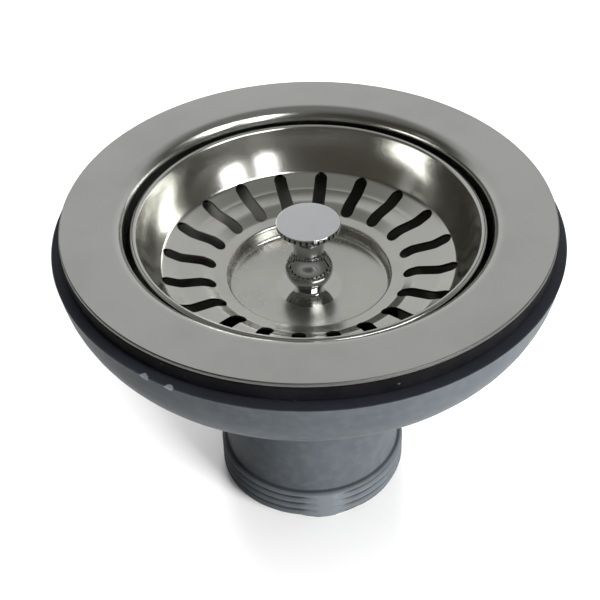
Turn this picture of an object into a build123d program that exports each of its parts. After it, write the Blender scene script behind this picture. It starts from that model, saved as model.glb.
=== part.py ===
from build123d import *
import math
import os

# Basket-strainer sink waste, standing on its outlet end. Millimetres, +Z up.
# The origin is the centre of the outlet's end face, on the axis of every turned piece.

# Lower body, with the hub and its spider ribs as a node of their own
body_height = 75.2
rim_overhang = 2.3
rim_land = 4.6
rim_draft = 2.4
shoulder_drop = 13.2
shoulder_reach = 9.75
shoulder_inner_reach = 10.6
throat_bend = 6.0
throat_drop = 11.5
body_wall = 2.7
neck_radius = 22.5
outlet_bore_radius = 20.2
thread_radius = 23.9
thread_length = 9.5
thread_lead_in = 0.7
hub_radius = 10.8
hub_height = 14.0
hub_below_throat = 1.5
rib_count = 4
rib_thickness = 2.6
rib_height = 11.0

# Hub nut, held in a pocket that opens downwards
nut_across_flats = 15.0
nut_height = 7.0
nut_roof = 3.5
nut_edge = 0.6

# Sink gasket
gasket_thickness = 4.5
gasket_inset = 0.1
gasket_edge = 1.1

# Flange and dish, pressed from one sheet
flange_radius = 57.0
flange_sheet = 0.8
flange_edge = 0.35
flange_bend = 3.2
flange_width = 14.4
dish_depth = 31.5
dish_straight = 18.0
dish_floor_inset = 1.1
dish_bend = 5.0
drain_hole_count = 4
drain_hole_radius = 4.8
drain_hole_circle = 14.2

# Centre screw, hollow for the stem
screw_radius = 5.0
screw_bore_radius = 3.0
screw_head_radius = 9.0
screw_head_height = 1.8
screw_head_edge = 0.5
screw_slot_width = 2.0
screw_slot_depth = 0.9
screw_tail = 3.0

# Strainer basket, pressed from one sheet
basket_sheet = 0.6
basket_rim_gap = 1.3
basket_rim_width = 1.4
basket_lip = 1.1
basket_depth = 20.0
basket_wall_drop = 10.95
basket_wall_run = 5.0
band_mid_inset = 10.4
band_mid_drop = 12.75
band_inner_inset = 15.7
band_inner_drop = 13.25
ledge_outer_inset = 18.7
ledge_outer_drop = 14.65
ledge_inner_inset = 21.9
ledge_inner_drop = 14.9
knob_seat_radius = 7.6
disc_inset = 22.0
disc_drop = 18.5
seat_bend = 1.0
step_bend = 1.0
ledge_edge = 0.75
ledge_bend = 2.0
band_bend = 4.0
wall_bend = 2.2
rim_bend = 0.15
slot_count = 20
slot_width = 3.2
slot_inner_inset = 17.3
slot_outer_inset = 8.1
slot_start_angle = 11.4

# Knob
knob_height = 20.0
knob_top_radius = 7.5
knob_top_edge = 1.5
knob_crown = 0.25
knob_neck_radius = 3.65
knob_neck_drop = 8.2
knob_bulge_radius = 5.75
knob_bulge_drop = 14.0
knob_base_radius = 3.5

# Stem, stopper and clip
stud_radius = 2.0
stud_reach = 9.0
stem_radius = 2.4
stem_collar_radius = 4.6
stem_collar_height = 1.4
stem_tip = 0.6
stem_end_gap = 1.2
stopper_height = 7.9
stopper_crown = 2.5
stopper_crown_radius = 9.4
stopper_lip_radius = 21.6
stopper_lip_width = 2.2
stopper_lip_height = 2.2
stopper_edge = 0.6
plate_radius = 8.0
plate_thickness = 1.0
clip_length = 5.0
clip_groove_radius = 1.6
clip_split = 1.0
clip_above_end = 1.2

# Clearances
thread_gap = 0.05
running_gap = 0.05
hole_gap = 0.3
seat_gap = 0.05
end_play = 0.1

# Heights that follow from the sizes above
rim_z = body_height
flange_under_z = rim_z + gasket_thickness
top_z = flange_under_z + flange_sheet
floor_z = top_z - dish_depth
throat_z = floor_z - throat_drop
hub_top_z = throat_z - hub_below_throat
hub_bottom_z = hub_top_z - hub_height
nut_top_z = hub_top_z - nut_roof
nut_bottom_z = nut_top_z - nut_height
screw_end_z = nut_bottom_z - screw_tail
stem_end_z = screw_end_z + stem_end_gap
clip_bottom_z = stem_end_z + clip_above_end
clip_top_z = clip_bottom_z + clip_length
stopper_top_z = floor_z + seat_gap + stopper_height
plate_top_z = stopper_top_z - stopper_crown
collar_top_z = plate_top_z - plate_thickness
disc_z = stopper_top_z + basket_sheet
basket_top_z = disc_z + basket_depth

# Radii that follow from the flange
rim_radius = flange_radius + rim_overhang
gasket_radius = flange_radius - gasket_inset
dish_bore_radius = flange_radius - flange_width
dish_floor_radius = (dish_bore_radius + stopper_lip_radius) / 2 - dish_floor_inset
basket_radius = dish_bore_radius - basket_rim_gap
slot_inner_radius = basket_radius - slot_inner_inset
slot_outer_radius = basket_radius - slot_outer_inset


def turned(corners):
    """Solid turned about Z from a closed section of (radius, height, corner rounding)."""
    points = [(radius, height) for radius, height, _ in corners]
    rounding = [fillet for _, _, fillet in corners]
    outline = FilletPolyline(*points, radius=rounding, close=True)
    return revolve(Plane.XZ * make_face(outline), axis=Axis.Z)


def beside(line, gap):
    """The bent line that runs a gap to the right of another, with its bends to match."""
    points = [Vector(radius, height) for radius, height, _ in line]
    ways = [(after - before).normalized() for before, after in zip(points, points[1:])]
    sides = [Vector(way.Y, -way.X) for way in ways]
    moved = [points[0] + sides[0] * gap]
    bends = [0]
    for index in range(1, len(points) - 1):
        before = sides[index - 1]
        after = sides[index]
        mitre = (before + after) / (1 + before.dot(after))
        moved.append(points[index] + mitre * gap)
        turn = ways[index - 1].cross(ways[index]).Z
        bend = line[index][2]
        bends.append(bend + math.copysign(gap, turn) if bend else 0)
    moved.append(points[-1] + sides[-1] * gap)
    bends.append(0)
    return [(point.X, point.Y, bend) for point, bend in zip(moved, bends)]


def bend_at(before, corner, after, reach):
    """Rounding whose arc meets both sides at a given reach from the corner."""
    middle = Vector(*corner)
    arriving = (middle - Vector(*before)).normalized()
    leaving = (Vector(*after) - middle).normalized()
    turn = math.acos(arriving.dot(leaving))
    return reach / math.tan(turn / 2)


def pressed(line, sheet):
    """Sheet of even thickness turned about Z, hanging below its upper line."""
    return turned(line + beside(line, sheet)[::-1])


def rod(radius, bottom, top):
    """Upright cylinder on the axis."""
    return Pos(0, 0, bottom) * Cylinder(
        radius, top - bottom, align=(Align.CENTER, Align.CENTER, Align.MIN)
    )


def hexagon(across_flats, bottom, top):
    """Upright hexagonal prism on the axis."""
    outline = RegularPolygon(across_flats / 2, 6, major_radius=False)
    return Pos(0, 0, bottom) * extrude(outline, top - bottom)


def make_lower_body():
    """Plastic bowl, neck and outlet in one moulding."""
    rim = (rim_radius, rim_z)
    shoulder = (rim_radius - rim_draft, rim_z - shoulder_drop)
    throat = (neck_radius, throat_z)
    outer = [
        (*rim, 0),
        (*shoulder, bend_at(rim, shoulder, throat, shoulder_reach)),
        (*throat, throat_bend),
        (neck_radius, 0, 0),
    ]
    outlet = [
        (neck_radius, thread_length, 0),
        (thread_radius - thread_lead_in, thread_length, 0),
        (thread_radius, thread_length - thread_lead_in, 0),
        (thread_radius, thread_lead_in, 0),
        (thread_radius - thread_lead_in, 0, 0),
    ]
    inner = beside(outer, body_wall)
    rim_inner = (rim_radius - rim_land, rim_z)
    shoulder_inner = inner[1][:2]
    throat_inner = (outlet_bore_radius, inner[2][1])
    inside = [
        (outlet_bore_radius, 0, 0),
        (*throat_inner, inner[2][2]),
        (*shoulder_inner, bend_at(rim_inner, shoulder_inner, throat_inner, shoulder_inner_reach)),
        (*rim_inner, 0),
    ]
    return turned(outer[:3] + outlet + inside)


def make_hub_spider():
    """Hub on four ribs that end on the neck's bore, with the screw hole and the nut's pocket."""
    rib_bottom_z = hub_bottom_z + (hub_height - rib_height) / 2
    rib = Pos(0, 0, rib_bottom_z) * Box(
        2 * outlet_bore_radius, rib_thickness, rib_height, align=(Align.MIN, Align.CENTER, Align.MIN)
    )
    spider = rod(hub_radius, hub_bottom_z, hub_top_z)
    for index in range(rib_count):
        spider += Rot(0, 0, index * 360 / rib_count + 45) * rib
    spider &= rod(outlet_bore_radius, hub_bottom_z, hub_top_z)
    spider -= rod(screw_radius + hole_gap, hub_bottom_z, hub_top_z)
    return spider - hexagon(nut_across_flats + 2 * thread_gap, hub_bottom_z, nut_top_z)


def make_hub_nut():
    """Brass insert with a turned chamfer on its corners."""
    corner_radius = nut_across_flats / math.sqrt(3)
    blank = turned([
        (0, nut_bottom_z, 0),
        (corner_radius - nut_edge, nut_bottom_z, 0),
        (corner_radius, nut_bottom_z + nut_edge / 2, 0),
        (corner_radius, nut_top_z - nut_edge / 2, 0),
        (corner_radius - nut_edge, nut_top_z, 0),
        (0, nut_top_z, 0),
    ])
    nut = blank & hexagon(nut_across_flats, nut_bottom_z, nut_top_z)
    return nut - rod(screw_radius + thread_gap, nut_bottom_z, nut_top_z)


def make_sink_gasket():
    """Flat rubber ring with rounded edges, slipped over the dish's wall."""
    inner_radius = dish_bore_radius + flange_sheet + hole_gap
    return turned([
        (inner_radius, rim_z, 0),
        (gasket_radius, rim_z, gasket_edge),
        (gasket_radius, flange_under_z, gasket_edge),
        (inner_radius + flange_bend, flange_under_z, 0),
        (inner_radius, flange_under_z - flange_bend, 0),
    ])


def make_flange_dish():
    """Flange, rolled bend, straight wall, tapered sides and pierced floor."""
    upper = [
        (screw_radius + hole_gap, floor_z, 0),
        (dish_floor_radius, floor_z, dish_bend),
        (dish_bore_radius, top_z - dish_straight, dish_bend),
        (dish_bore_radius, top_z, flange_bend),
        (flange_radius - flange_edge, top_z, 0),
        (flange_radius, top_z - flange_edge, 0),
    ]
    under = beside(upper[:4] + [(flange_radius, top_z, 0)], flange_sheet)
    dish = turned(upper + under[::-1])
    drill = Pos(drain_hole_circle, 0, 0) * rod(drain_hole_radius, floor_z - flange_sheet, floor_z)
    for index in range(drain_hole_count):
        dish -= Rot(0, 0, index * 360 / drain_hole_count) * drill
    return dish


def make_centre_screw():
    """Hollow screw with a low slotted head that bears on the dish floor."""
    head_top_z = floor_z + screw_head_height
    screw = turned([
        (screw_bore_radius, screw_end_z, 0),
        (screw_radius - screw_head_edge, screw_end_z, 0),
        (screw_radius, screw_end_z + screw_head_edge, 0),
        (screw_radius, floor_z, 0),
        (screw_head_radius, floor_z, 0),
        (screw_head_radius, head_top_z, screw_head_edge),
        (screw_bore_radius + screw_head_edge, head_top_z, 0),
        (screw_bore_radius, head_top_z - screw_head_edge, 0),
    ])
    slot = Pos(0, 0, head_top_z) * Box(
        2 * screw_head_radius, screw_slot_width, 2 * screw_slot_depth
    )
    return screw - slot


def make_basket():
    """Dished strainer: flat knob seat, rising disc, step, ledge, slotted band, steep wall and rolled rim."""
    rim_inner_radius = basket_radius - basket_rim_width
    upper = [
        (stud_radius + hole_gap, disc_z, 0),
        (knob_seat_radius, disc_z, seat_bend),
        (basket_radius - disc_inset, basket_top_z - disc_drop, step_bend),
        (basket_radius - ledge_inner_inset, basket_top_z - ledge_inner_drop, ledge_edge),
        (basket_radius - ledge_outer_inset, basket_top_z - ledge_outer_drop, ledge_bend),
        (basket_radius - band_inner_inset, basket_top_z - band_inner_drop, band_bend),
        (basket_radius - band_mid_inset, basket_top_z - band_mid_drop, band_bend),
        (rim_inner_radius - basket_wall_run, basket_top_z - basket_wall_drop, wall_bend),
        (rim_inner_radius, basket_top_z, basket_sheet + rim_bend),
        (basket_radius, basket_top_z, basket_sheet + rim_bend),
        (basket_radius, basket_top_z - basket_lip, 0),
    ]
    basket = pressed(upper, basket_sheet)
    slot_length = slot_outer_radius - slot_inner_radius
    middle = (slot_outer_radius + slot_inner_radius) / 2
    outline = Pos(middle, 0, disc_z) * SlotCenterToCenter(slot_length, slot_width)
    cutter = extrude(outline, basket_depth)
    for index in range(slot_count):
        basket -= Rot(0, 0, slot_start_angle + index * 360 / slot_count) * cutter
    return basket


def make_knob():
    """Turned mushroom knob: flat cap, neck and a bulge that narrows to the base."""
    knob_top_z = disc_z + knob_height
    cap_under_z = knob_top_z - knob_top_edge
    neck = (knob_neck_radius, knob_top_z - knob_neck_drop)
    bulge = (knob_bulge_radius, knob_top_z - knob_bulge_drop)
    base = (knob_base_radius, disc_z)
    cap = (knob_top_radius, cap_under_z)
    crown_edge = (knob_top_radius, knob_top_z - knob_crown)
    crown_middle = (knob_top_radius / 2, knob_top_z - knob_crown / 4)
    crown = ThreePointArc((0, knob_top_z), crown_middle, crown_edge)
    sides = [
        Line(crown_edge, cap),
        Spline(cap, neck, tangents=[(-1, -0.25), (0, -1)]),
        Spline(neck, bulge, tangents=[(0, -1), (0, -1)]),
        Spline(bulge, base, tangents=[(0, -1), (0, -1)]),
        Line(base, (0, disc_z)),
        Line((0, disc_z), (0, knob_top_z)),
    ]
    knob = revolve(Plane.XZ * make_face([crown] + sides), axis=Axis.Z)
    return knob - rod(stud_radius + thread_gap, disc_z, disc_z + stud_reach + end_play)


def make_stem():
    """Stud, clamping collar and shaft in one turning, with a groove for the clip."""
    collar_bottom_z = collar_top_z - stem_collar_height
    groove_bottom_z = clip_bottom_z - end_play
    groove_top_z = clip_top_z + end_play
    return turned([
        (0, stem_end_z, 0),
        (stem_radius - stem_tip, stem_end_z, 0),
        (stem_radius, stem_end_z + stem_tip, 0),
        (stem_radius, groove_bottom_z, 0),
        (clip_groove_radius, groove_bottom_z, 0),
        (clip_groove_radius, groove_top_z, 0),
        (stem_radius, groove_top_z, 0),
        (stem_radius, collar_bottom_z, 0),
        (stem_collar_radius, collar_bottom_z, 0),
        (stem_collar_radius, collar_top_z, 0),
        (stud_radius, collar_top_z, 0),
        (stud_radius, disc_z + stud_reach, 0),
        (0, disc_z + stud_reach, 0),
    ])


def make_stopper_seal():
    """Rubber bell: thick crown, thinning skirt and flat sealing lip."""
    hole_radius = stud_radius + thread_gap
    seat_z = floor_z + seat_gap
    lip_inner_radius = stopper_lip_radius - stopper_lip_width
    return turned([
        (hole_radius, stopper_top_z, 0),
        (stopper_crown_radius, stopper_top_z, stopper_edge),
        (stopper_lip_radius, seat_z + stopper_lip_height, stopper_edge),
        (stopper_lip_radius, seat_z, 0),
        (lip_inner_radius, seat_z, 0),
        (plate_radius + hole_gap, plate_top_z, 0),
        (hole_radius, plate_top_z, 0),
    ])


def make_stopper_plate():
    """Steel washer between the stem's collar and the stopper's crown."""
    plate = rod(plate_radius, collar_top_z, plate_top_z)
    return plate - rod(stud_radius + hole_gap, collar_top_z, plate_top_z)


def make_stem_clip():
    """Split plastic bush, free to turn in the stem's groove and to slide in the screw."""
    clip = rod(screw_bore_radius - running_gap, clip_bottom_z, clip_top_z)
    clip -= rod(clip_groove_radius + running_gap, clip_bottom_z, clip_top_z)
    split = Pos(0, 0, clip_bottom_z) * Box(
        screw_bore_radius, clip_split, clip_length, align=(Align.MIN, Align.CENTER, Align.MIN)
    )
    return clip - split


pieces = {
    "lower_body": make_lower_body(),
    "hub_spider": make_hub_spider(),
    "hub_nut": make_hub_nut(),
    "sink_gasket": make_sink_gasket(),
    "flange_dish": make_flange_dish(),
    "centre_screw": make_centre_screw(),
    "basket": make_basket(),
    "knob": make_knob(),
    "stem": make_stem(),
    "stopper_seal": make_stopper_seal(),
    "stopper_plate": make_stopper_plate(),
    "stem_clip": make_stem_clip(),
}

os.makedirs("parts", exist_ok=True)
for name, piece in pieces.items():
    export_step(piece, f"parts/{name}.step")
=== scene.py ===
import math

import bpy
from mathutils import Matrix, Vector


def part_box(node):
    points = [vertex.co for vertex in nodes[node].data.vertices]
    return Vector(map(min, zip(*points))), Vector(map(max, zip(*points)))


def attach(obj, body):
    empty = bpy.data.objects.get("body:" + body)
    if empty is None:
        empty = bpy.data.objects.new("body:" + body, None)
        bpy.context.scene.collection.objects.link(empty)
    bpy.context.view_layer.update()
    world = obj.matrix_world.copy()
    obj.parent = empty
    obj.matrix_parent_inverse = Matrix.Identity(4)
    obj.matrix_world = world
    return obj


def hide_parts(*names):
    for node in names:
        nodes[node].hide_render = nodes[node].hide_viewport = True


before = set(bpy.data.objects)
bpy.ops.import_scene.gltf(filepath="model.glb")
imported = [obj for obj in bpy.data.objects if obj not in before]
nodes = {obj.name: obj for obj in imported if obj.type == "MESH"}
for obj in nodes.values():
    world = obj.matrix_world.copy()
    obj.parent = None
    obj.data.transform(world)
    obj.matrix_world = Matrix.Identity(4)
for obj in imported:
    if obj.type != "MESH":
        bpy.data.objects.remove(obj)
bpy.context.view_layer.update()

mm = 0.001

# Places read from the frame
flange_low, flange_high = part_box("flange_dish")
body_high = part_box("lower_body")[1]
gasket_low, gasket_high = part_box("sink_gasket")
basket_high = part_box("basket")[1]
knob_low, knob_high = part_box("knob")

# Flange and dish
sheet = 0.8 * mm
flange_radius = flange_high.x
flange_edge = 0.35 * mm
flange_bend = 3.2 * mm
dish_bore = 42.6 * mm
dish_straight = 18.0 * mm
dish_floor_radius = 31.0 * mm
dish_bend = 5.0 * mm
top_z = flange_high.z
floor_z = flange_low.z + sheet
screw_hole = 5.3 * mm
drain_hole_count = 4
drain_hole_radius = 4.8 * mm
drain_hole_circle = 14.2 * mm

# Gasket
gasket_radius = gasket_high.x
gasket_edge = 1.1 * mm
gasket_bore = 43.7 * mm

# Lower body
rim_z = body_high.z
rim_radius = body_high.x
rim_land = 4.6 * mm
rim_draft = 2.4 * mm
shoulder_drop = 13.2 * mm
shoulder_bend = 24.0 * mm
throat_z = floor_z - 11.5 * mm
throat_bend = 6.0 * mm
wall = 2.7 * mm
neck_radius = 22.5 * mm
outlet_bore = 20.2 * mm
thread_radius = 23.9 * mm
thread_top = 9.5 * mm
thread_lead_in = 0.7 * mm
thread_pitch = 2.31 * mm
thread_depth = 1.2 * mm
thread_row = 0.11 * mm
thread_crest = 0.12
thread_flank = 0.8

# Parting strips of the mould, where the thread fades out
strip_angle = math.radians(-83)
strip_half = math.radians(5)
strip_fade = math.radians(13)

# Two whitened chips on the rim's left edge
chip_angles = [math.radians(234.2), math.radians(240.3)]
chip_length = 1.2 * mm
chip_height = 0.6 * mm
chip_drop = 0.2 * mm
chip_places = [
    (rim_radius * math.cos(angle), rim_radius * math.sin(angle), rim_z - chip_drop)
    for angle in chip_angles
]

# Basket
basket_sheet = 0.6 * mm
basket_radius = basket_high.x
basket_top = basket_high.z
basket_rim_width = 1.4 * mm
basket_rim_bend = basket_sheet + 0.15 * mm
basket_lip = 1.1 * mm
basket_hole = 2.3 * mm
knob_seat = 7.6 * mm
seat_dip = 0.32 * mm
disc_z = knob_low.z

# Corners of the basket's section as radius, drop below its rim, and bend
disc_edge = (19.3 * mm, 18.5 * mm, 1.0 * mm)
step_top = (19.4 * mm, 14.9 * mm, 0.75 * mm)
ledge_end = (22.6 * mm, 14.65 * mm, 2.0 * mm)
band_foot = (25.6 * mm, 13.25 * mm, 4.0 * mm)
band_end = (30.9 * mm, 12.75 * mm, 4.0 * mm)
wall_inset = 5.0 * mm
wall_drop = 10.95 * mm
wall_foot_bend = 2.2 * mm
wall_belly = 0.55 * mm
wall_belly_bend = 30 * mm

# Slots through the basket's band
slot_count = 20
slot_width = 3.2 * mm
slot_inner = 24.0 * mm
slot_outer = 33.4 * mm
slot_start = math.radians(11.4)
blade_height = 30 * mm

# Knob
knob_top = knob_high.z
knob_cap = 7.5 * mm
knob_edge = 1.5 * mm
knob_crown = 0.25 * mm
knob_rounding = 0.22 * mm
knob_neck_radius = 3.65 * mm
knob_neck_drop = 8.2 * mm
knob_bulge_radius = 5.75 * mm
knob_bulge_drop = 14.0 * mm
knob_base_radius = 3.5 * mm

# Fineness of the pieces
turn_steps = 288
arc_step = math.radians(5)
guard = 0.3 * mm
seat_steps = 6
longest_step = 1.5 * mm
crown_steps = 12
rounding_steps = 6
wave_steps = 24
drill_sides = 64
blade_sides = 48
same_place = 0.002 * mm
smooth_angle = math.radians(32)
slot_smooth_angle = math.radians(15)


# Modelling helpers

def deselect():
    bpy.ops.object.select_all(action="DESELECT")


def make_active(piece):
    deselect()
    piece.select_set(True)
    bpy.context.view_layer.objects.active = piece


def rounded(corners):
    """Points of a closed section given as (radius, height, bend), each bend an arc between guard points."""
    count = len(corners)
    points = []
    for index, (radius, height, bend) in enumerate(corners):
        here = Vector((radius, height))
        if not bend:
            points.append(here)
            continue
        before = Vector(corners[index - 1][:2]) - here
        after = Vector(corners[(index + 1) % count][:2]) - here
        room = min(before.length, after.length)
        before.normalize()
        after.normalize()
        half = before.angle(after) / 2
        reach = bend / math.tan(half)
        middle = here + (before + after).normalized() * bend / math.sin(half)
        start = here + before * reach - middle
        sweep = math.pi - 2 * half
        if start.cross(here + after * reach - middle) < 0:
            sweep = -sweep
        if reach + 2 * guard < room:
            points.append(here + before * (reach + guard))
        steps = max(3, math.ceil(abs(sweep) / arc_step))
        for step in range(steps + 1):
            turn = Matrix.Rotation(sweep * step / steps, 2)
            points.append(middle + turn @ start)
        if reach + 2 * guard < room:
            points.append(here + after * (reach + guard))
    return points


def split_long(points, longest):
    """The same section with its long straight steps cut into shorter ones."""
    finer = []
    for start, end in zip(points, points[1:] + points[:1]):
        parts = max(math.ceil((end - start).length / longest), 1)
        for part in range(parts):
            finer.append(start.lerp(end, part / parts))
    return finer


def beside(line, gap):
    """The bent line that runs a gap to the right of another, with its bends to match."""
    points = [Vector(corner[:2]) for corner in line]
    ways = [(after - before).normalized() for before, after in zip(points, points[1:])]
    sides = [Vector((way.y, -way.x)) for way in ways]
    moved = [(*(points[0] + sides[0] * gap), 0)]
    for index in range(1, len(points) - 1):
        before, after = sides[index - 1], sides[index]
        corner = points[index] + (before + after) / (1 + before.dot(after)) * gap
        turn = ways[index - 1].cross(ways[index])
        bend = line[index][2]
        moved.append((*corner, bend + math.copysign(gap, turn) if bend else 0))
    moved.append((*(points[-1] + sides[-1] * gap), 0))
    return moved


def turned(name, points):
    """A closed section drawn point by point in the XZ plane, then spun about Z."""
    deselect()
    bpy.ops.mesh.primitive_plane_add(size=mm)
    piece = bpy.context.object
    piece.name = name
    piece.data.name = name
    bpy.ops.object.mode_set(mode="EDIT")
    bpy.ops.mesh.select_all(action="SELECT")
    bpy.ops.mesh.merge(type="CENTER")
    bpy.ops.transform.translate(value=(points[0].x, 0, points[0].y))
    for before, after in zip(points, points[1:] + points[:1]):
        step = (after.x - before.x, 0, after.y - before.y)
        bpy.ops.mesh.extrude_region_move(TRANSFORM_OT_translate={"value": step})
    bpy.ops.mesh.select_all(action="SELECT")
    bpy.ops.mesh.spin(steps=turn_steps, angle=2 * math.pi, center=(0, 0, 0), axis=(0, 0, 1))
    bpy.ops.mesh.select_all(action="SELECT")
    bpy.ops.mesh.remove_doubles(threshold=same_place)
    bpy.ops.mesh.normals_make_consistent(inside=False)
    bpy.ops.object.mode_set(mode="OBJECT")
    return piece


def finish_shading(piece, angle=smooth_angle):
    make_active(piece)
    bpy.ops.object.shade_smooth_by_angle(angle=angle)


def cut(piece, tool):
    """Cuts the tool from the piece and deletes it."""
    make_active(piece)
    boolean = piece.modifiers.new("cut", "BOOLEAN")
    boolean.operation = "DIFFERENCE"
    boolean.solver = "EXACT"
    boolean.object = tool
    bpy.ops.object.modifier_apply(modifier=boolean.name)
    bpy.data.objects.remove(tool)


def joined(tools):
    """Separate solids as one object."""
    deselect()
    for tool in tools:
        tool.select_set(True)
    bpy.context.view_layer.objects.active = tools[0]
    bpy.ops.object.join()
    return bpy.context.object


def apply_place(piece):
    make_active(piece)
    bpy.ops.object.transform_apply(location=True, rotation=True, scale=True)


def add_drill(radius, low, high, place):
    """An upright round bar, turned by half a side so that no corner meets an edge of the turned floor."""
    deselect()
    bpy.ops.mesh.primitive_cylinder_add(
        vertices=drill_sides,
        radius=radius,
        depth=high - low,
        location=(*place, (low + high) / 2),
        rotation=(0, 0, math.pi / drill_sides),
    )
    piece = bpy.context.object
    apply_place(piece)
    return piece


# Shader helpers

class Value:
    """A number that changes over a surface: a socket that takes part in sums."""

    def __init__(self, look, socket):
        self.look = look
        self.socket = socket

    def __add__(self, other):
        return self.look.maths("ADD", self, other)

    def __sub__(self, other):
        return self.look.maths("SUBTRACT", self, other)

    def __mul__(self, other):
        return self.look.maths("MULTIPLY", self, other)

    def __truediv__(self, other):
        return self.look.maths("DIVIDE", self, other)

    def __pow__(self, other):
        return self.look.maths("POWER", self, other)

    def __rsub__(self, other):
        return self.look.maths("SUBTRACT", other, self)

    __radd__ = __add__
    __rmul__ = __mul__


class Look:
    """A material, a floor paint or a sky in the making."""

    def __init__(self, owner):
        owner.use_nodes = True
        self.owner = owner
        self.tree = owner.node_tree
        self.tree.nodes.clear()

    def add(self, kind, settings=None, sockets=None, out=0):
        """Any node: its settings first, then the values or links of its sockets."""
        node = self.tree.nodes.new(kind)
        for key, setting in (settings or {}).items():
            if key == "stops":
                ramp = node.color_ramp.elements
                while len(ramp) < len(setting):
                    ramp.new(1.0)
                for element, (position, colour) in zip(ramp, setting):
                    element.position = position
                    element.color = (*colour, 1)
            else:
                setattr(node, key, setting)
        for key, value in (sockets or {}).items():
            if isinstance(value, Value):
                self.tree.links.new(value.socket, node.inputs[key])
            else:
                node.inputs[key].default_value = value
        return Value(self, node.outputs[out]) if node.outputs else None

    def maths(self, operation, first, second):
        return self.add("ShaderNodeMath", {"operation": operation}, {0: first, 1: second})

    def spot(self):
        return self.add("ShaderNodeTexCoord", out="Object")

    def split(self, vector):
        parts = self.add("ShaderNodeSeparateXYZ", sockets={0: vector}).socket.node
        return [Value(self, socket) for socket in parts.outputs]

    def noise(self, vector, scale, detail=3.0, roughness=0.5):
        sockets = {"Vector": vector, "Scale": scale, "Detail": detail, "Roughness": roughness}
        return self.add("ShaderNodeTexNoise", sockets=sockets)

    def rings(self, place, scale):
        """Fine marks along one measure, such as the radius."""
        sockets = {"W": place, "Scale": scale, "Detail": 2.0}
        return self.add("ShaderNodeTexNoise", {"noise_dimensions": "1D"}, sockets)

    def fade(self, value, low, high, start=0.0, end=1.0):
        """Runs smoothly from start to end as the value goes from low to high."""
        sockets = {"Value": value, "From Min": low, "From Max": high, "To Min": start, "To Max": end}
        return self.add("ShaderNodeMapRange", {"interpolation_type": "SMOOTHSTEP"}, sockets)

    def mix(self, factor, first, second):
        settings = {"data_type": "RGBA"}
        return self.add("ShaderNodeMix", settings, {0: factor, 6: first, 7: second}, out=2)

    def bump(self, height, distance):
        sockets = {"Height": height, "Distance": distance, "Strength": 1.0}
        return self.add("ShaderNodeBump", sockets=sockets)

    def surface(self, sockets):
        shader = self.add("ShaderNodeBsdfPrincipled", sockets=sockets)
        self.add("ShaderNodeOutputMaterial", sockets={"Surface": shader})
        return self.owner


def new_look(name):
    return Look(bpy.data.materials.new(name))


def length(x, y):
    return (x * x + y * y) ** 0.5


def dimmed(colour, share):
    return (*[channel * share for channel in colour[:3]], 1)


def grey(level):
    return (level, level, level)


# Finishes

def polished_steel(name, colour, smooth, ring_depth, shade_below, edge_radius, satin_ring=None):
    """Pressed stainless sheet: polished where it shows, duller deep down and at its sheared edge; deep down
    it is also darkened as painted shade, and the sheared edge is darker in its own colour.

    A satin ring, given by its two radii, is duller too, and the sheet inside it is brighter.
    """
    sheared_and_shade = (0.13, 0.128, 0.12, 1)
    deep_fade = 3 * mm
    edge_fade = 0.1 * mm
    satin_start = 0.3 * mm
    satin_end = 0.5 * mm
    look = new_look(name)
    spot = look.spot()
    x, y, z = look.split(spot)
    radius = length(x, y)
    rings = look.rings(radius, 2600.0)
    smudge = look.noise(spot, 55.0, 4.0, 0.6)
    grain = look.noise(spot, 900.0, 2.0)
    rough = smooth + 0.05 * look.fade(smudge, 0.45, 0.75) + 0.02 * (grain - 0.5)
    tint = look.mix(look.fade(smudge, 0.35, 0.7), colour, dimmed(colour, 0.94))
    # Painted shade: deep in the dish the colour fades towards the dark colour of the sheared edge, and the
    # sheet gets rougher there
    deep = look.fade(z, shade_below, shade_below - deep_fade)
    edge = look.fade(radius, edge_radius - edge_fade, edge_radius)
    deep_shade_and_edge = look.maths("MAXIMUM", deep, edge)
    tint = look.mix(deep_shade_and_edge, tint, sheared_and_shade)
    rough = rough + 0.28 * deep_shade_and_edge
    if satin_ring:
        inner, outer = satin_ring
        satin = look.fade(radius, inner, inner + satin_start) * look.fade(radius, outer, outer - satin_end)
        bright_seat = look.fade(radius, inner + satin_start, inner)
        rough = rough + 0.08 * satin - 0.10 * bright_seat
    normal = look.bump(rings * 0.7 + grain * 0.3, ring_depth)
    return look.surface({"Base Color": tint, "Metallic": 1.0, "Roughness": rough, "Normal": normal})


def bright_chrome():
    """Turned and plated knob: deep mirror with a trace of handling."""
    clean = (0.64, 0.655, 0.665, 1)
    handled = (0.58, 0.595, 0.605, 1)
    look = new_look("bright_chrome")
    spot = look.spot()
    smudge = look.noise(spot, 160.0, 3.0, 0.6)
    rough = 0.045 + 0.05 * look.fade(smudge, 0.5, 0.8)
    tint = look.mix(smudge, clean, handled)
    normal = look.bump(look.noise(spot, 700.0), 0.002 * mm)
    return look.surface({"Base Color": tint, "Metallic": 1.0, "Roughness": rough, "Normal": normal})


def black_rubber():
    """Moulded rubber with a dusty bloom, a few pale specks and a fine pitted skin."""
    black = (0.0015, 0.0015, 0.002, 1)
    bloomed = (0.0035, 0.0035, 0.004, 1)
    speck = (0.03, 0.03, 0.028, 1)
    look = new_look("black_rubber")
    spot = look.spot()
    bloom = look.noise(spot, 120.0, 5.0, 0.65)
    pits = look.noise(spot, 1800.0, 2.0)
    specks = look.fade(look.noise(spot, 640.0, 1.0), 0.76, 0.80)
    dark = look.mix(look.fade(bloom, 0.3, 0.75), black, bloomed)
    tint = look.mix(specks, dark, speck)
    rough = 0.52 + 0.2 * bloom
    normal = look.bump(pits, 0.03 * mm)
    sockets = {"Base Color": tint, "Roughness": rough, "Specular IOR Level": 0.05, "Normal": normal}
    return look.surface(sockets)


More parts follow.
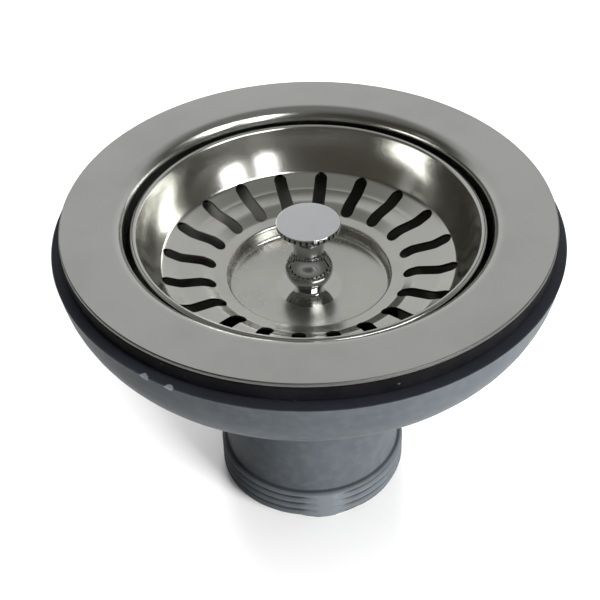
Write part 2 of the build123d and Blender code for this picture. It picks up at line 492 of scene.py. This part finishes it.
def body_plastic():
    """Satin blue-grey moulding with flow marks, painted shadow and grime under the gasket, painted shade in
    the thread's grooves and painted highlights on its crests, and two chips.
    """
    dark_flow = (0.028, 0.032, 0.036, 1)
    light_flow = (0.036, 0.041, 0.045, 1)
    speckle = (0.055, 0.061, 0.066, 1)
    grime_and_shadow = (0.012, 0.013, 0.018, 1)
    groove_shade = (0.010, 0.011, 0.013, 1)
    crest_highlight = (0.115, 0.125, 0.135, 1)
    chipped = (0.16, 0.17, 0.19, 1)
    thread_fade = 0.3 * mm
    look = new_look("body_plastic")
    spot = look.spot()
    x, y, z = look.split(spot)
    radius = length(x, y)
    flow = look.noise(spot, 38.0, 3.0, 0.55)
    grain = look.noise(spot, 2200.0, 2.0)
    mottle = look.noise(spot, 420.0, 3.0)
    plain = look.mix(look.fade(flow, 0.3, 0.7), dark_flow, light_flow)
    tint = look.mix(look.fade(mottle, 0.35, 0.75, 0.0, 0.35), plain, speckle)
    # Painted shadow and grime: the rim's top ledge under the gasket is darkened
    ledge = look.fade(z, rim_z - 0.35 * mm, rim_z - 0.05 * mm)
    ledge = ledge * look.fade(radius, rim_radius, rim_radius - 0.5 * mm)
    tint = look.mix(ledge * 0.8, tint, grime_and_shadow)
    threaded = look.fade(z, thread_top + thread_fade, thread_top - thread_fade)
    threaded = threaded * look.fade(radius, neck_radius - 0.4 * mm, neck_radius)
    # Painted shade darkens the thread's grooves, and painted highlights lighten its crests
    lit_crest = look.fade(radius, thread_radius - 1.0 * mm, thread_radius - 0.3 * mm)
    tint = look.mix(threaded * (1 - lit_crest) * 0.65, tint, groove_shade)
    tint = look.mix(threaded * lit_crest * 0.35, tint, crest_highlight)
    for place in chip_places:
        along = length(x - place[0], y - place[1]) / chip_length
        across = (z - place[2]) / chip_height
        away = length(along, across)
        ragged = away + (look.noise(spot, 1100.0, 3.0, 0.7) - 0.5) * 1.5
        tint = look.mix(look.fade(ragged, 1.0, 0.75) * 0.85, tint, chipped)
    rough = 0.38 + 0.12 * flow
    normal = look.bump(grain * 0.6 + mottle * 0.4, 0.025 * mm)
    sockets = {"Base Color": tint, "Roughness": rough, "Specular IOR Level": 0.05, "Normal": normal}
    return look.surface(sockets)


def turned_metal(name, colour, smooth):
    """Lathe-turned metal with fine rings along its height."""
    look = new_look(name)
    spot = look.spot()
    x, y, z = look.split(spot)
    radius = length(x, y)
    rings = look.rings(radius + z, 5200.0)
    stain = look.noise(spot, 260.0, 3.0)
    tint = look.mix(look.fade(stain, 0.35, 0.75), colour, dimmed(colour, 0.8))
    rough = smooth + 0.12 * stain
    normal = look.bump(rings, 0.01 * mm)
    return look.surface({"Base Color": tint, "Metallic": 1.0, "Roughness": rough, "Normal": normal})


def white_nylon():
    """Clouded off-white moulding."""
    cream = (0.70, 0.69, 0.64, 1)
    white = (0.80, 0.79, 0.75, 1)
    look = new_look("white_nylon")
    spot = look.spot()
    cloud = look.noise(spot, 300.0, 3.0)
    tint = look.mix(cloud, cream, white)
    normal = look.bump(look.noise(spot, 2400.0), 0.01 * mm)
    return look.surface({"Base Color": tint, "Roughness": 0.35 + 0.1 * cloud, "Normal": normal})


# Pieces

def make_flange():
    """Flange, rolled bend, straight wall, tapered sides and pierced floor."""
    upper = [
        (screw_hole, floor_z, 0),
        (dish_floor_radius, floor_z, dish_bend),
        (dish_bore, top_z - dish_straight, dish_bend),
        (dish_bore, top_z, flange_bend),
        (flange_radius, top_z, 0),
    ]
    under = beside(upper, sheet)
    edge = [(flange_radius, top_z, flange_edge)]
    piece = turned("flange", rounded(upper[:-1] + edge + under[::-1]))
    drills = []
    for index in range(drain_hole_count):
        angle = 2 * math.pi * index / drain_hole_count
        place = (drain_hole_circle * math.cos(angle), drain_hole_circle * math.sin(angle))
        drills.append(add_drill(drain_hole_radius, floor_z - 2 * sheet, floor_z + sheet, place))
    cut(piece, joined(drills))
    finish_shading(piece)
    return piece


def make_gasket():
    """Rubber ring with rounded edges, relieved inside for the flange's bend."""
    low, high = gasket_low.z, gasket_high.z
    piece = turned("gasket_ring", rounded([
        (gasket_bore, low, 0),
        (gasket_radius, low, gasket_edge),
        (gasket_radius, high, gasket_edge),
        (gasket_bore + flange_bend, high, 0),
        (gasket_bore, high - flange_bend, 0),
    ]))
    finish_shading(piece)
    return piece


def make_basket():
    """Dished strainer with radial slots through its sloping band."""
    rim_inner = basket_radius - basket_rim_width
    wall_foot = Vector((rim_inner - wall_inset, basket_top - wall_drop))
    wall_top = Vector((rim_inner, basket_top))
    wall_way = (wall_top - wall_foot).normalized()
    wall_middle = (wall_top + wall_foot) / 2 + Vector((wall_way.y, -wall_way.x)) * wall_belly
    upper = []
    for step in range(seat_steps + 1):
        radius = basket_hole + (knob_seat - basket_hole) * step / seat_steps
        upper.append((radius, disc_z + seat_dip * (radius / knob_seat) ** 2, 0))
    for radius, drop, bend in (disc_edge, step_top, ledge_end, band_foot, band_end):
        upper.append((radius, basket_top - drop, bend))
    upper += [
        (*wall_foot, wall_foot_bend),
        (*wall_middle, wall_belly_bend),
        (*wall_top, basket_rim_bend),
        (basket_radius, basket_top, basket_rim_bend),
        (basket_radius, basket_top - basket_lip, 0),
    ]
    section = rounded(upper + beside(upper, basket_sheet)[::-1])
    piece = turned("strainer_basket", split_long(section, longest_step))
    cut(piece, make_slot_cutters())
    finish_shading(piece, slot_smooth_angle)
    return piece


def make_slot_cutters():
    """Round-ended upright blades: one is drawn out from a cylinder, and the rest are turned copies."""
    deselect()
    middle = ((slot_inner + slot_outer) / 2, 0, disc_z + blade_height / 4)
    bpy.ops.mesh.primitive_cylinder_add(
        vertices=blade_sides,
        radius=slot_width / 2,
        depth=blade_height,
        location=middle,
    )
    blade = bpy.context.object
    reach = (slot_outer - slot_inner) / 2
    for side in (-1, 1):
        bpy.ops.object.mode_set(mode="EDIT")
        bpy.ops.mesh.select_all(action="DESELECT")
        bpy.ops.object.mode_set(mode="OBJECT")
        for vertex in blade.data.vertices:
            vertex.select = vertex.co.x * side > mm / 1000
        bpy.ops.object.mode_set(mode="EDIT")
        bpy.ops.transform.translate(value=(side * reach, 0, 0))
    bpy.ops.object.mode_set(mode="OBJECT")
    apply_place(blade)
    blades = []
    for index in range(slot_count):
        copy = blade.copy()
        copy.data = blade.data.copy()
        bpy.context.scene.collection.objects.link(copy)
        copy.rotation_euler.z = slot_start + 2 * math.pi * index / slot_count
        apply_place(copy)
        blades.append(copy)
    bpy.data.objects.remove(blade)
    return joined(blades)


def make_body():
    """Bowl, neck and outlet with the moulded thread."""
    outer = [
        (rim_radius, rim_z, 0),
        (rim_radius - rim_draft, rim_z - shoulder_drop, shoulder_bend),
        (neck_radius, throat_z, throat_bend),
        (neck_radius, 0, 0),
    ]
    inner = beside(outer, wall)
    inside = [
        (rim_radius - rim_land, rim_z, 0),
        inner[1],
        (outlet_bore, inner[2][1], inner[2][2]),
        (outlet_bore, 0, 0),
    ]
    rows = math.ceil((thread_top - thread_lead_in) / thread_row)
    thread = [(neck_radius, thread_top, 0)]
    for row in range(1, rows + 1):
        height = thread_top - (thread_top - thread_lead_in) * row / rows
        thread.append((thread_radius, height, 0))
    thread.append((thread_radius - thread_lead_in, 0, 0))
    piece = turned("waste_body", rounded(outer[:3] + thread + inside[::-1]))
    cut_thread(piece)
    finish_shading(piece)
    return piece


def cut_thread(piece):
    """Presses the helical grooves into the outlet, fading out at the mould's two parting strips."""
    for vertex in piece.data.vertices:
        radius = math.hypot(vertex.co.x, vertex.co.y)
        height = vertex.co.z
        if radius < neck_radius + 0.2 * mm or not 0 < height <= thread_top + 0.01 * mm:
            continue
        angle = math.atan2(vertex.co.y, vertex.co.x)
        away = abs(math.remainder(angle - strip_angle, math.pi)) - strip_half
        strength = min(max(away / strip_fade, 0), 1)
        phase = (height / thread_pitch - angle / (2 * math.pi)) % 1
        flank = (1 - abs(2 * phase - 1) - thread_crest) / thread_flank
        depth = thread_depth * strength * min(max(flank, 0), 1)
        run_out = max(0, 1 - (thread_top - height) / thread_lead_in)
        depth = max(depth, (thread_radius - neck_radius) * run_out)
        factor = (radius - depth) / radius
        vertex.co.x *= factor
        vertex.co.y *= factor


def make_knob():
    """Turned mushroom knob: flat cap, neck and a bulge that narrows to the base."""
    points = []
    for step in range(crown_steps + 1):
        radius = (knob_cap - knob_rounding) * step / crown_steps
        points.append(Vector((radius, knob_top - knob_crown * (radius / knob_cap) ** 2)))
    brim = points[-1].y
    for step in range(1, rounding_steps + 1):
        angle = math.pi / 2 * (1 - step / rounding_steps)
        radius = knob_cap - knob_rounding + knob_rounding * math.cos(angle)
        points.append(Vector((radius, brim - knob_rounding * (1 - math.sin(angle)))))
    points.append(Vector((knob_cap, knob_top - knob_edge)))
    points += flowing_side()
    points.append(Vector((0, disc_z)))
    piece = turned("lift_knob", points)
    finish_shading(piece)
    return piece


def flowing_side():
    """The knob's side from the cap's underside to its base: three soft waves."""
    under_cap = (-1, -0.25)
    straight_down = (0, -1)
    stations = [
        ((knob_cap, knob_top - knob_edge), under_cap),
        ((knob_neck_radius, knob_top - knob_neck_drop), straight_down),
        ((knob_bulge_radius, knob_top - knob_bulge_drop), straight_down),
        ((knob_base_radius, disc_z), straight_down),
    ]
    points = []
    for (start, start_way), (end, end_way) in zip(stations, stations[1:]):
        start = Vector(start)
        end = Vector(end)
        pull = (end - start).length
        first = Vector(start_way).normalized() * pull
        last = Vector(end_way).normalized() * pull
        for step in range(1, wave_steps + 1):
            t = step / wave_steps
            start_share = 2 * t ** 3 - 3 * t ** 2 + 1
            first_share = t ** 3 - 2 * t ** 2 + t
            end_share = 3 * t ** 2 - 2 * t ** 3
            last_share = t ** 3 - t ** 2
            point = start * start_share + first * first_share + end * end_share + last * last_share
            points.append(point)
    return points


# Dressing the frame

flange_finish = polished_steel(
    "flange_steel",
    colour=(0.50, 0.505, 0.485, 1),
    smooth=0.20,
    ring_depth=0.003 * mm,
    # Painted shade darkens the dish from 5 mm below the flange's top downwards
    shade_below=top_z - 5 * mm,
    edge_radius=flange_radius - 0.2 * mm,
)
basket_finish = polished_steel(
    "basket_steel",
    colour=(0.57, 0.57, 0.535, 1),
    smooth=0.17,
    ring_depth=0.002 * mm,
    shade_below=disc_z - 3 * mm,
    edge_radius=flange_radius,
    satin_ring=(knob_seat, 20 * mm),
)
rubber_finish = black_rubber()
plastic_finish = body_plastic()
steel_finish = turned_metal("turned_steel", (0.56, 0.56, 0.54, 1), 0.22)

pieces = [
    (make_flange(), "flange_dish", "waste", "flange_steel", flange_finish),
    (make_gasket(), "sink_gasket", "waste", "rubber", rubber_finish),
    (make_body(), "lower_body", "waste", "body_plastic", plastic_finish),
    (make_basket(), "basket", "strainer", "basket_steel", basket_finish),
    (make_knob(), "knob", "strainer", "knob_chrome", bright_chrome()),
]
for piece, node, body, slot, finish in pieces:
    piece.data.materials.clear()
    piece.data.materials.append(finish)
    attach(piece, body)
    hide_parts(node)

kept = {
    "hub_spider": plastic_finish,
    "centre_screw": steel_finish,
    "stem": steel_finish,
    "stopper_plate": steel_finish,
    "hub_nut": turned_metal("machined_brass", (0.72, 0.52, 0.22, 1), 0.25),
    "stopper_seal": rubber_finish,
    "stem_clip": white_nylon(),
}
for name, finish in kept.items():
    nodes[name].data.materials.clear()
    nodes[name].data.materials.append(finish)


# Floor, light and camera

def make_floor():
    """A plain pale floor, a little uneven in tone."""
    floor_size = 6
    deselect()
    bpy.ops.mesh.primitive_plane_add(size=floor_size, location=(0, 0, 0))
    floor = bpy.context.object
    floor.name = "floor"
    look = new_look("pale_floor")
    spot = look.spot()
    tint = look.mix(look.noise(spot, 3.0), (*grey(0.86), 1), (*grey(0.89), 1))
    floor.data.materials.append(look.surface({"Base Color": tint, "Roughness": 0.85}))


def make_sky():
    """Room light: a bright far wall that darkens upwards, and a dim side behind the viewer."""
    world = bpy.data.worlds.new("studio")
    bpy.context.scene.world = world
    look = Look(world)
    x, y, z = look.split(look.add("ShaderNodeTexCoord", out="Generated"))
    far_wall = [
        (0.0, grey(0.80)),
        (0.35, grey(0.74)),
        (0.52, grey(0.66)),
        (0.74, grey(0.64)),
        (0.86, grey(0.40)),
        (1.0, grey(0.27)),
    ]
    near_wall = [
        (0.0, (0.10, 0.092, 0.076)),
        (0.65, (0.07, 0.064, 0.053)),
        (1.0, (0.27, 0.27, 0.26)),
    ]
    far_light = look.add("ShaderNodeValToRGB", {"stops": far_wall}, {"Fac": z})
    near_light = look.add("ShaderNodeValToRGB", {"stops": near_wall}, {"Fac": z})
    light = look.mix(look.fade(y, 0.05, 0.6), near_light, far_light)
    background = look.add("ShaderNodeBackground", sockets={"Color": light, "Strength": 1.0})
    look.add("ShaderNodeOutputWorld", sockets={"Surface": background})


def add_softbox(name, azimuth, elevation, distance, size, power, mirrored=True, soft=True):
    """An area light that looks at the flange's middle, from an azimuth in degrees counted from +X.

    A mirrored lamp shows in glossy surfaces, and a soft one lights matt surfaces.
    """
    data = bpy.data.lights.new(name, "AREA")
    data.shape = "RECTANGLE"
    data.size, data.size_y = size
    data.energy = power
    lamp = bpy.data.objects.new(name, data)
    bpy.context.scene.collection.objects.link(lamp)
    turn = math.radians(azimuth)
    rise = math.radians(elevation)
    way = Vector((math.cos(turn) * math.cos(rise), math.sin(turn) * math.cos(rise), math.sin(rise)))
    lamp.location = Vector((0, 0, top_z)) + way * distance
    lamp.rotation_euler = way.to_track_quat("Z", "Y").to_euler()
    lamp.visible_glossy = mirrored
    lamp.visible_diffuse = soft


def make_camera():
    """Looks down at about 40 degrees, turned a little about its own axis."""
    sensor_width = 36
    focal_length = 77.35
    pitch = math.radians(40.59)
    roll = math.radians(1.5)
    place = Vector((-2.36 * mm, -238.2 * mm, top_z + 177.1 * mm))
    data = bpy.data.cameras.new("camera")
    data.sensor_width = sensor_width
    data.lens = focal_length
    data.clip_start = 0.01
    camera = bpy.data.objects.new("camera", data)
    bpy.context.scene.collection.objects.link(camera)
    forward = Vector((0, math.cos(pitch), -math.sin(pitch)))
    upward = Vector((0, math.sin(pitch), math.cos(pitch)))
    right = Vector((1, 0, 0))
    tilted_right = right * math.cos(roll) - upward * math.sin(roll)
    tilted_up = upward * math.cos(roll) + right * math.sin(roll)
    camera.matrix_world = Matrix((tilted_right, tilted_up, -forward)).transposed().to_4x4()
    camera.location = place
    bpy.context.scene.camera = camera


make_floor()
make_sky()

# Windows that only show in the steel: name, azimuth, elevation, distance, size and power
windows = [
    ("window_right", -33, 36, 1.6, (0.6, 0.5), 9),
    ("window_right_low", -35, 20, 1.6, (0.36, 0.3), 3),
    ("window_front", -61, 40, 1.6, (0.45, 0.5), 6.5),
    ("window_front_low", -61, 21, 1.6, (0.28, 0.3), 2.4),
    ("window_left", 194, 18, 1.8, (0.3, 0.6), 0.15),
]
for window in windows:
    add_softbox(*window, soft=False)

# Fills that only light the matt surfaces, in the same order
fills = [
    ("side_fill", -42, 8, 1.6, (0.8, 0.4), 115),
    ("back_fill", 95, 8, 1.6, (0.8, 0.4), 45),
    ("overhead", 90, 88, 2.2, (2.4, 2.4), 42),
]
for fill in fills:
    add_softbox(*fill, mirrored=False)

make_camera()
bpy.context.scene.view_settings.view_transform = "Standard"
